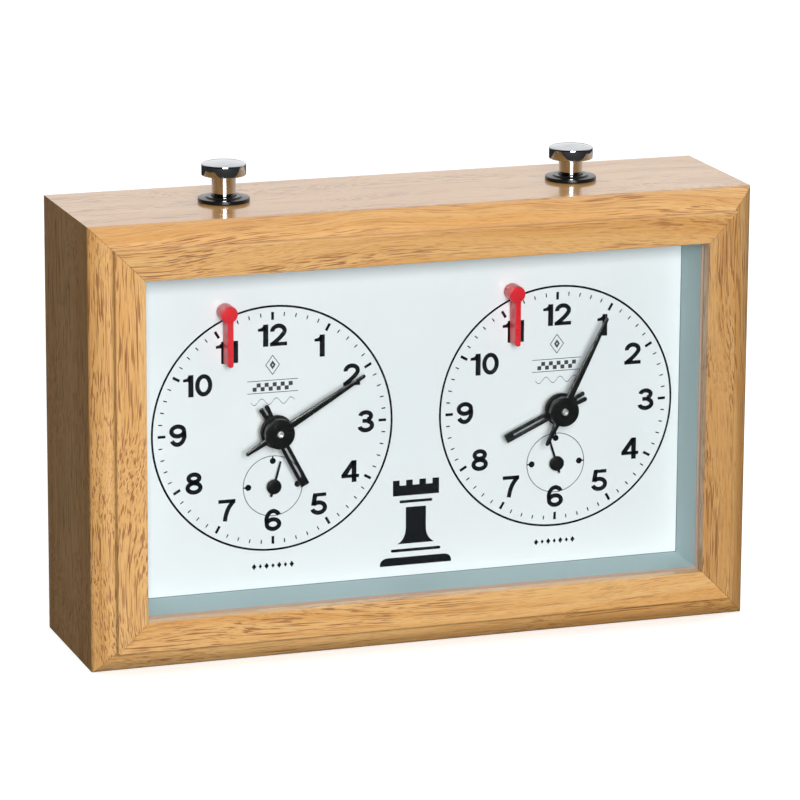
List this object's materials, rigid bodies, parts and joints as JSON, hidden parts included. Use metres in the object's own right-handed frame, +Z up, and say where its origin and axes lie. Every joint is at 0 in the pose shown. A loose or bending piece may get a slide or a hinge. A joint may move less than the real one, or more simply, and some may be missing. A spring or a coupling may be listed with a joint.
{
  "type": "chess clock",
  "caption": "Mechanical chess clock: moulded hardwood case, two white dials behind one glass, red flags, and two chrome push buttons joined by a rocker.",
  "frame": {"origin": "middle of the underside of the case, on the surface it stands on", "axes": "+X to the right of someone facing the dials, +Y from the front to the back, +Z up"},
  "size_m": [0.2, 0.054, 0.1414],
  "materials": {
    "oak_case": "satin varnished hardwood with open pores",
    "pane": "clear float glass",
    "lining_card": "matte grey-blue card",
    "white_dial": "glossy white enamel with black print",
    "panel_black": "black fibre board",
    "chrome": "polished",
    "black_collar": "semi-gloss black",
    "hand_black": "satin black",
    "flag_red": "glossy red",
    "brass": "satin brass",
    "steel": "ground steel",
    "spring_steel": "blued steel"
  },
  "bodies": {
    "case": {"case_top": "oak_case", "case_bottom": "oak_case", "case_left_side": "oak_case", "case_right_side": "oak_case", "window_glass": "pane", "lining_frame": "lining_card", "dial_plate": "white_dial", "back_panel": "panel_black", "back_screw_1": "steel", "back_screw_2": "steel", "back_screw_3": "steel", "back_screw_4": "steel", "rocker_bracket": "steel", "rocker_pin": "steel", "left_button_collar": "black_collar", "left_front_plate": "brass", "left_back_plate": "brass", "left_mainspring": "spring_steel", "left_hairspring": "spring_steel", "left_flag_pin": "steel", "right_button_collar": "black_collar", "right_front_plate": "brass", "right_back_plate": "brass", "right_mainspring": "spring_steel", "right_hairspring": "spring_steel", "right_flag_pin": "steel"},
    "rocker": {"rocker_bar": "steel"},
    "left_button": {"left_push_button": "chrome"},
    "left_hand_setting": {"left_setting_arbor": "steel", "left_minute_hand": "hand_black"},
    "left_minute_train": {"left_minute_wheel": "brass"},
    "left_hour": {"left_hour_wheel": "brass", "left_hour_hand": "hand_black"},
    "left_fourth": {"left_fourth_wheel": "brass", "left_seconds_hand": "hand_black"},
    "left_center": {"left_center_wheel": "brass"},
    "left_third": {"left_third_wheel": "brass"},
    "left_escape": {"left_escape_wheel": "brass"},
    "left_great": {"left_great_wheel": "brass"},
    "left_pallet": {"left_pallet_lever": "steel"},
    "left_balance": {"left_balance_wheel": "brass"},
    "left_key": {"left_winding_key": "brass"},
    "left_flag_body": {"left_flag": "flag_red"},
    "right_button": {"right_push_button": "chrome"},
    "right_hand_setting": {"right_setting_arbor": "steel", "right_minute_hand": "hand_black"},
    "right_minute_train": {"right_minute_wheel": "brass"},
    "right_hour": {"right_hour_wheel": "brass", "right_hour_hand": "hand_black"},
    "right_fourth": {"right_fourth_wheel": "brass", "right_seconds_hand": "hand_black"},
    "right_center": {"right_center_wheel": "brass"},
    "right_third": {"right_third_wheel": "brass"},
    "right_escape": {"right_escape_wheel": "brass"},
    "right_great": {"right_great_wheel": "brass"},
    "right_pallet": {"right_pallet_lever": "steel"},
    "right_balance": {"right_balance_wheel": "brass"},
    "right_key": {"right_winding_key": "brass"},
    "right_flag_body": {"right_flag": "flag_red"}
  },
  "joints": [
    {"name": "rocker_tilt", "type": "hinge", "parent": "case", "child": "rocker", "pos_m": [0, 0.0034, 0.114], "axis": [0, -1, 0], "range_deg": [-1.46, 2.87]},
    {"name": "left_button_press", "type": "slide", "parent": "case", "child": "left_button", "axis": [0, 0, 1], "range_m": [-0.00266, 0.00136]},
    {"name": "left_minute_turn", "type": "hinge", "parent": "case", "child": "left_hand_setting", "pos_m": [-0.0434, 0, 0.0654], "axis": [0, 1, 0], "continuous": true},
    {"name": "left_minute_wheel_turn", "type": "hinge", "parent": "case", "child": "left_minute_train", "pos_m": [-0.05379, -0.007, 0.0714], "axis": [0, 1, 0], "continuous": true},
    {"name": "left_hour_turn", "type": "hinge", "parent": "case", "child": "left_hour", "pos_m": [-0.0434, -0.009, 0.0654], "axis": [0, 1, 0], "continuous": true},
    {"name": "left_seconds_turn", "type": "hinge", "parent": "case", "child": "left_fourth", "pos_m": [-0.0434, 0, 0.0484], "axis": [0, 1, 0], "continuous": true},
    {"name": "left_center_turn", "type": "hinge", "parent": "case", "child": "left_center", "pos_m": [-0.0434, 0, 0.0654], "axis": [0, 1, 0], "continuous": true},
    {"name": "left_third_turn", "type": "hinge", "parent": "case", "child": "left_third", "pos_m": [-0.03101, 0, 0.05497], "axis": [0, 1, 0], "continuous": true},
    {"name": "left_escape_turn", "type": "hinge", "parent": "case", "child": "left_escape", "pos_m": [-0.05482, 0, 0.04424], "axis": [0, 1, 0], "continuous": true},
    {"name": "left_great_turn", "type": "hinge", "parent": "case", "child": "left_great", "pos_m": [-0.03238, 0, 0.0845], "axis": [0, 1, 0], "continuous": true},
    {"name": "left_pallet_rock", "type": "hinge", "parent": "case", "child": "left_pallet", "pos_m": [-0.06027, 0, 0.05203], "axis": [0, 1, 0], "range_deg": [-4, 4]},
    {"name": "left_balance_swing", "type": "hinge", "parent": "case", "child": "left_balance", "pos_m": [-0.06555, 0, 0.06336], "axis": [0, 1, 0], "range_deg": [-150, 150], "stiffness_Nm_per_rad": 0.00001},
    {"name": "left_winding", "type": "hinge", "parent": "case", "child": "left_key", "pos_m": [-0.03238, 0.02, 0.0845], "axis": [0, -1, 0], "range_deg": [0, 1800]},
    {"name": "left_flag_lift", "type": "hinge", "parent": "case", "child": "left_flag_body", "pos_m": [-0.0578, -0.015, 0.101], "axis": [0, -1, 0], "range_deg": [-15, 75]},
    {"name": "right_button_press", "type": "slide", "parent": "case", "child": "right_button", "axis": [0, 0, 1], "range_m": [-0.00136, 0.00266]},
    {"name": "right_minute_turn", "type": "hinge", "parent": "case", "child": "right_hand_setting", "pos_m": [0.0434, 0, 0.0654], "axis": [0, 1, 0], "continuous": true},
    {"name": "right_minute_wheel_turn", "type": "hinge", "parent": "case", "child": "right_minute_train", "pos_m": [0.03301, -0.007, 0.0714], "axis": [0, 1, 0], "continuous": true},
    {"name": "right_hour_turn", "type": "hinge", "parent": "case", "child": "right_hour", "pos_m": [0.0434, -0.009, 0.0654], "axis": [0, 1, 0], "continuous": true},
    {"name": "right_seconds_turn", "type": "hinge", "parent": "case", "child": "right_fourth", "pos_m": [0.0434, 0, 0.0484], "axis": [0, 1, 0], "continuous": true},
    {"name": "right_center_turn", "type": "hinge", "parent": "case", "child": "right_center", "pos_m": [0.0434, 0, 0.0654], "axis": [0, 1, 0], "continuous": true},
    {"name": "right_third_turn", "type": "hinge", "parent": "case", "child": "right_third", "pos_m": [0.05579, 0, 0.05497], "axis": [0, 1, 0], "continuous": true},
    {"name": "right_escape_turn", "type": "hinge", "parent": "case", "child": "right_escape", "pos_m": [0.03198, 0, 0.04424], "axis": [0, 1, 0], "continuous": true},
    {"name": "right_great_turn", "type": "hinge", "parent": "case", "child": "right_great", "pos_m": [0.05443, 0, 0.0845], "axis": [0, 1, 0], "continuous": true},
    {"name": "right_pallet_rock", "type": "hinge", "parent": "case", "child": "right_pallet", "pos_m": [0.02653, 0, 0.05203], "axis": [0, 1, 0], "range_deg": [-4, 4]},
    {"name": "right_balance_swing", "type": "hinge", "parent": "case", "child": "right_balance", "pos_m": [0.02125, 0, 0.06336], "axis": [0, 1, 0], "range_deg": [-150, 150], "stiffness_Nm_per_rad": 0.00001},
    {"name": "right_winding", "type": "hinge", "parent": "case", "child": "right_key", "pos_m": [0.05443, 0.02, 0.0845], "axis": [0, -1, 0], "range_deg": [0, 1800]},
    {"name": "right_flag_lift", "type": "hinge", "parent": "case", "child": "right_flag_body", "pos_m": [0.029, -0.015, 0.101], "axis": [0, -1, 0], "range_deg": [-15, 75]}
  ],
  "couplings": [
    {"joint": "left_button_press", "follows": "rocker_tilt", "m_per_rad": -0.053},
    {"joint": "left_minute_wheel_turn", "follows": "left_minute_turn", "ratio": -0.33333},
    {"joint": "left_hour_turn", "follows": "left_minute_turn", "ratio": 0.083333},
    {"joint": "left_center_turn", "follows": "left_seconds_turn", "ratio": 0.016667},
    {"joint": "left_third_turn", "follows": "left_seconds_turn", "ratio": -0.13333},
    {"joint": "left_escape_turn", "follows": "left_seconds_turn", "ratio": -8},
    {"joint": "left_great_turn", "follows": "left_seconds_turn", "ratio": -0.0027778},
    {"joint": "right_button_press", "follows": "rocker_tilt", "m_per_rad": 0.053},
    {"joint": "right_minute_wheel_turn", "follows": "right_minute_turn", "ratio": -0.33333},
    {"joint": "right_hour_turn", "follows": "right_minute_turn", "ratio": 0.083333},
    {"joint": "right_center_turn", "follows": "right_seconds_turn", "ratio": 0.016667},
    {"joint": "right_third_turn", "follows": "right_seconds_turn", "ratio": -0.13333},
    {"joint": "right_escape_turn", "follows": "right_seconds_turn", "ratio": -8},
    {"joint": "right_great_turn", "follows": "right_seconds_turn", "ratio": -0.0027778}
  ]
}
